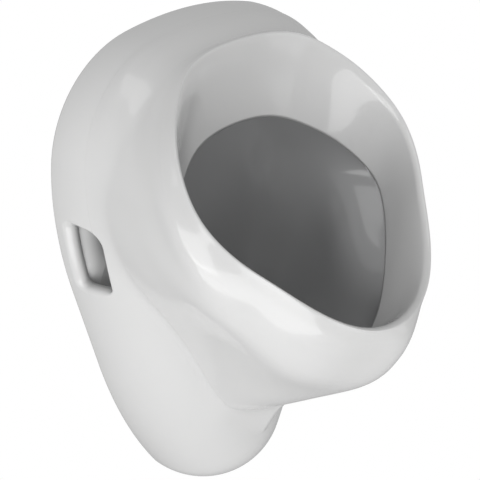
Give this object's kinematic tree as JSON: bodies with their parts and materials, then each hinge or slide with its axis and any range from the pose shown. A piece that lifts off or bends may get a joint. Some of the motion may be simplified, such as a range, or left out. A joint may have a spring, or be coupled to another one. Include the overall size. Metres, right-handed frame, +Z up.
{
  "type": "wall hung urinal",
  "caption": "Wall hung urinal: a white ceramic body with an open tilted mouth, a dark glazed inner bowl, a spray nozzle, a lift out strainer and a concealed bottle trap.",
  "frame": {"origin": "on the wall, midway between the two fixing holes", "axes": "+Z up, +Y into the wall, the bowl projects towards -Y, +X to the right seen from the front"},
  "size_m": [0.34, 0.3015, 0.548],
  "materials": {
    "white_glaze": "gloss",
    "grey_glaze": "gloss",
    "chrome": "polished",
    "brass": "satin",
    "steel": "brushed",
    "white_plastic": "satin",
    "grey_plastic": "satin",
    "black_rubber": "matte"
  },
  "bodies": {
    "urinal": {"ceramic_body": "white_glaze", "inner_bowl": "grey_glaze", "fixing_sleeves": "white_plastic", "spray_nozzle": "chrome", "nozzle_washer": "black_rubber", "nozzle_nut": "brass", "inlet_socket": "black_rubber", "inlet_seal": "black_rubber", "waste_flange": "chrome", "waste_seal_top": "black_rubber", "waste_seal_lower": "black_rubber", "waste_nut": "white_plastic", "trap_body": "white_plastic", "trap_cap": "white_plastic", "cap_o_ring": "black_rubber", "outlet_pipe": "grey_plastic", "outlet_nut": "white_plastic", "outlet_seal": "black_rubber"},
    "strainer_set": {"strainer": "steel", "dip_tube": "white_plastic", "dip_o_ring": "black_rubber"}
  },
  "joints": [
    {"name": "strainer_lift", "type": "slide", "parent": "urinal", "child": "strainer_set", "axis": [0, 0, 1], "range_m": [0, 0.12]}
  ]
}
